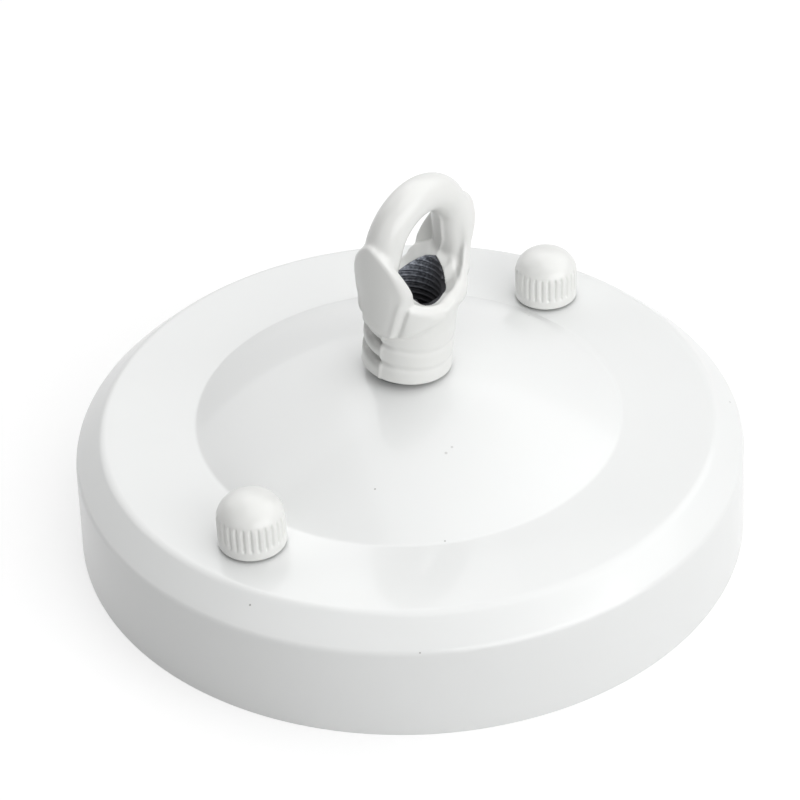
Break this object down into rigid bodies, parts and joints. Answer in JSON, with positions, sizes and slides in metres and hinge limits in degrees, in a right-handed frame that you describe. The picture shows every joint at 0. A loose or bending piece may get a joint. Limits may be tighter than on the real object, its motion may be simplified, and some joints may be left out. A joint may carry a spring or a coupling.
{
  "type": "ceiling rose",
  "caption": "Round domed metal ceiling rose for a hanging light, with knurled cap nuts, a cast loop with leaf-shaped sides, and a cranked strap bracket that screws to the ceiling.",
  "frame": {"origin": "centre of the canopy's rim, in the plane that meets the ceiling", "axes": "+Z out of the ceiling into the room, X through the two cap nuts, as the part lies on a table with its loop up"},
  "size_m": [0.108, 0.108, 0.0625],
  "materials": {
    "white_paint": "gloss white stoved paint",
    "zinc_steel": "bright zinc plate",
    "brass": "bare machined brass"
  },
  "bodies": {
    "bracket": {"strap_bracket": "zinc_steel", "front_stud_screw": "zinc_steel", "rear_stud_screw": "zinc_steel", "front_lock_washer": "zinc_steel", "rear_lock_washer": "zinc_steel", "front_lock_nut": "zinc_steel", "rear_lock_nut": "zinc_steel", "earth_screw": "brass", "earth_washer": "brass", "earth_nut": "brass"},
    "cover": {"canopy": "white_paint", "loop_hook": "white_paint", "threaded_nipple": "zinc_steel", "nipple_flat_washer": "zinc_steel", "nipple_lock_washer": "zinc_steel", "nipple_lock_nut": "zinc_steel"},
    "front_nut": {"front_cap_nut": "white_paint"},
    "rear_nut": {"rear_cap_nut": "white_paint"}
  },
  "joints": [
    {"name": "cover_lift", "type": "slide", "parent": "bracket", "child": "cover", "axis": [0, 0, 1], "range_m": [0, 0.004]},
    {"name": "front_nut_turn", "type": "hinge", "parent": "cover", "child": "front_nut", "pos_m": [-0.03965, 0, 0.0194], "axis": [0, 0, 1], "range_deg": [0, 2058]},
    {"name": "rear_nut_turn", "type": "hinge", "parent": "cover", "child": "rear_nut", "pos_m": [0.03965, 0, 0.0194], "axis": [0, 0, 1], "range_deg": [0, 2058]}
  ],
  "couplings": [
    {"joint": "front_nut_turn", "follows": "cover_lift", "rad_per_m": 8976},
    {"joint": "rear_nut_turn", "follows": "cover_lift", "rad_per_m": 8976}
  ]
}
